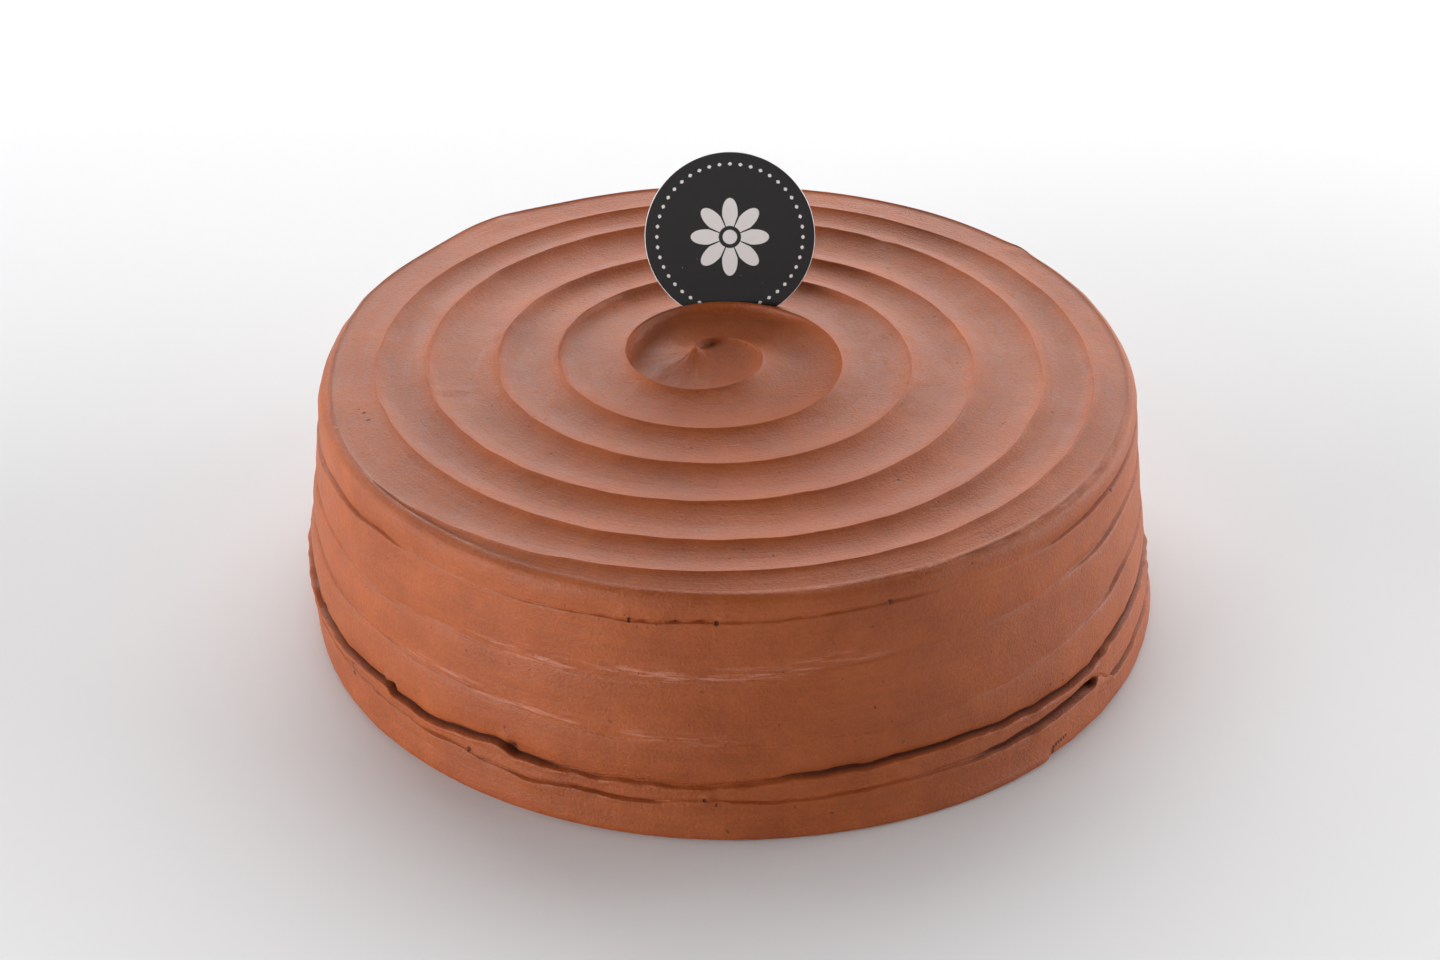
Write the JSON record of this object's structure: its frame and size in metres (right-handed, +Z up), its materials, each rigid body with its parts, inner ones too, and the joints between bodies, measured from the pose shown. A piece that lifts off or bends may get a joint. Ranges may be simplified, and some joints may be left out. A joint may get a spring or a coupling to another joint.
{
  "type": "chocolate cake",
  "caption": "Round chocolate cake with swirled buttercream on top, banded icing round its side, and a plain round tag stuck in the top.",
  "frame": {"origin": "middle of the cake's foot, on the surface it rests on", "axes": "+Z up out of the iced top; the printed side of the tag faces the front, -Y; +X is to the right seen from the front"},
  "size_m": [0.2553, 0.2571, 0.1161],
  "materials": {
    "chocolate_icing": "soft satin chocolate buttercream with spatula marks",
    "tag_black": "satin print on thin card, pale edge"
  },
  "bodies": {
    "root": {"cake": "chocolate_icing", "topper": "tag_black"}
  },
  "joints": []
}
